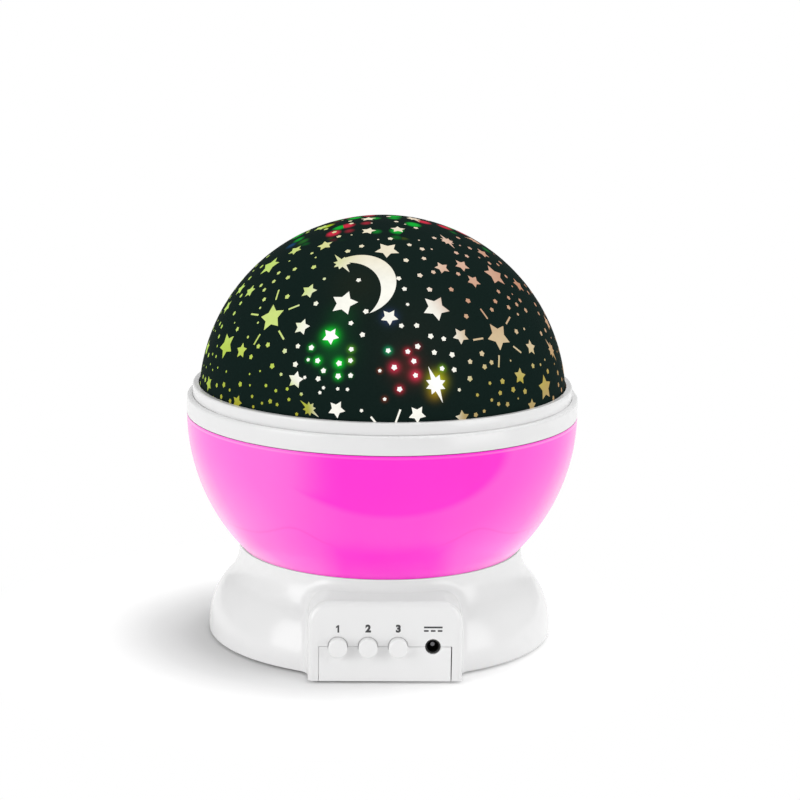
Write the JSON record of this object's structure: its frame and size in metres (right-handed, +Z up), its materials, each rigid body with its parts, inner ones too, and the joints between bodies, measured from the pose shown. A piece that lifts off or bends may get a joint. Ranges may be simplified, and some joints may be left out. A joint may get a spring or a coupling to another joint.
{
  "type": "star night light projector",
  "caption": "Star night light: a dark dome with star windows turns on white rings above a pink bowl and a flared white base with buttons and a power socket.",
  "frame": {"origin": "under the middle of the round body, on the floor plane that the feet touch", "axes": "+Z up through the dome, the control panel and its buttons face -Y, +X to the right seen from the panel"},
  "size_m": [0.128, 0.128, 0.1383],
  "materials": {
    "white_shell": "glossy white moulding",
    "white_cover": "satin white moulding",
    "foot_rubber": "matt dark rubber",
    "cell_label": "plain wrapped cell",
    "contact_metal": "nickel-plated spring steel",
    "screw_steel": "zinc-plated steel",
    "button_white": "glossy white cap",
    "plunger_black": "black switch plunger",
    "switch_metal": "pressed metal cover",
    "board_green": "green circuit board",
    "part_black": "black component bodies",
    "jack_black": "black moulded socket",
    "pin_brass": "plated brass pin",
    "bowl_pink": "glossy hot pink, slightly translucent",
    "ring_white": "glossy white ring",
    "deck_white": "plain white inner moulding",
    "pinion_ivory": "ivory acetal gear",
    "gearbox_grey": "grey gearbox case",
    "board_white": "white circuit board",
    "led_warm": "warm white lamp lens",
    "led_red": "red lamp lens",
    "led_green": "green lamp lens",
    "led_blue": "blue lamp lens",
    "dome_clear": "clear polished inner dome",
    "mask_dark": "dark matt shell with star windows",
    "lead_red": "insulated wire",
    "lead_blue": "insulated wire"
  },
  "bodies": {
    "base": {"base_shell": "white_shell", "bottom_cover": "white_cover", "feet": "foot_rubber", "battery_cells": "cell_label", "contact_plates": "contact_metal", "contact_springs": "contact_metal", "base_screws": "screw_steel", "switch_bodies": "switch_metal", "control_board": "board_green", "board_parts": "part_black", "dc_jack": "jack_black", "jack_pin": "pin_brass", "bowl": "bowl_pink", "bowl_screws": "screw_steel", "rim_ring": "ring_white", "deck": "deck_white", "deck_screws": "screw_steel", "gearbox": "gearbox_grey", "motor_can": "switch_metal", "motor_screws": "screw_steel", "light_tower": "deck_white", "tower_screws": "screw_steel", "led_board": "board_white", "led_screws": "screw_steel", "led_warm": "led_warm", "led_red": "led_red", "led_green": "led_green", "led_blue": "led_blue", "light_leads": "lead_red", "motor_leads": "lead_blue"},
    "turntable": {"turntable": "deck_white"},
    "dome": {"dome_collar": "ring_white", "dome_cover": "dome_clear", "star_mask": "mask_dark"},
    "pinion": {"pinion": "pinion_ivory", "motor_shaft": "screw_steel"},
    "button_1": {"button_1": "button_white", "plunger_1": "plunger_black"},
    "button_2": {"button_2": "button_white", "plunger_2": "plunger_black"},
    "button_3": {"button_3": "button_white", "plunger_3": "plunger_black"},
    "battery_door": {"battery_door": "white_cover"}
  },
  "joints": [
    {"name": "turntable_spin", "type": "hinge", "parent": "base", "child": "turntable", "pos_m": [0, 0, 0.0772], "axis": [0, 0, 1], "continuous": true},
    {"name": "pinion_spin", "type": "hinge", "parent": "base", "child": "pinion", "pos_m": [0, 0.0375, 0.0818], "axis": [0, 0, 1], "continuous": true},
    {"name": "dome_lift", "type": "slide", "parent": "turntable", "child": "dome", "axis": [0, 0, 1], "range_m": [0, 0.09]},
    {"name": "button_1_press", "type": "slide", "parent": "base", "child": "button_1", "axis": [0, 1, 0], "range_m": [0, 0.0008], "stiffness_N_per_m": 600, "springref_m": -0.0015},
    {"name": "button_2_press", "type": "slide", "parent": "base", "child": "button_2", "axis": [0, 1, 0], "range_m": [0, 0.0008], "stiffness_N_per_m": 600, "springref_m": -0.0015},
    {"name": "button_3_press", "type": "slide", "parent": "base", "child": "button_3", "axis": [0, 1, 0], "range_m": [0, 0.0008], "stiffness_N_per_m": 600, "springref_m": -0.0015},
    {"name": "battery_door_swing", "type": "hinge", "parent": "base", "child": "battery_door", "pos_m": [0, -0.01485, 0.0016], "axis": [-1, 0, 0], "range_deg": [0, 80]}
  ],
  "couplings": [
    {"joint": "pinion_spin", "follows": "turntable_spin", "ratio": 6}
  ]
}
